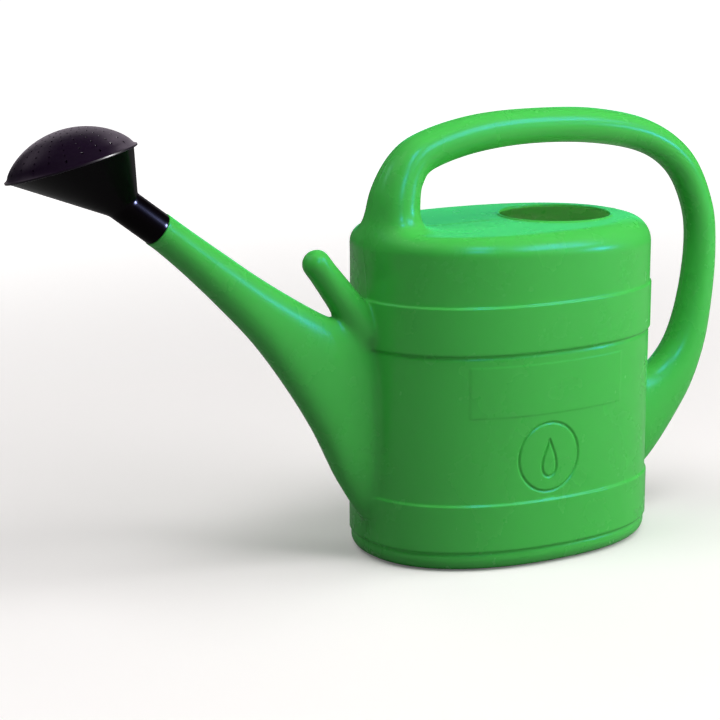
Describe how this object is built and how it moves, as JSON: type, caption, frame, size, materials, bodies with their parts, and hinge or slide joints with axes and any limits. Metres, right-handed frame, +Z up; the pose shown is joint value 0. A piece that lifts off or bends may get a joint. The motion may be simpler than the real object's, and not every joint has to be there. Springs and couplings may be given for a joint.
{
  "type": "watering can",
  "caption": "Oval blow-moulded garden watering can with a loop handle, a long spout and a domed perforated rose that turns, pulls off and opens.",
  "frame": {"origin": "middle of the tank's flat base, on the surface that the can stands on", "axes": "+X from the spout towards the handle, +Y to the can's left side seen from the handle's end, +Z up"},
  "size_m": [0.674, 0.1914, 0.3757],
  "materials": {
    "can_green": "glossy blow-moulded polyethylene",
    "rose_black": "glossy injection-moulded plastic",
    "face_black": "satin gloss injection-moulded plastic"
  },
  "bodies": {
    "can": {"tank_wall": "can_green", "tank_top": "can_green", "tank_base": "can_green", "handle": "can_green", "spout": "can_green", "spout_neck": "can_green", "rose_peg": "can_green"},
    "socket": {"rose_socket": "rose_black"},
    "rose": {"rose_funnel": "rose_black"},
    "face": {"rose_face": "face_black"}
  },
  "joints": [
    {"name": "rose_pull", "type": "slide", "parent": "can", "child": "socket", "axis": [-0.8028, 0, 0.5962], "range_m": [0, 0.045]},
    {"name": "rose_turn", "type": "hinge", "parent": "socket", "child": "rose", "pos_m": [-0.3236, 0, 0.2929], "axis": [-0.8028, 0, 0.5962], "continuous": true},
    {"name": "face_release", "type": "slide", "parent": "rose", "child": "face", "axis": [-0.2281, 0.1698, 0.9587], "range_m": [0, 0.03]}
  ]
}
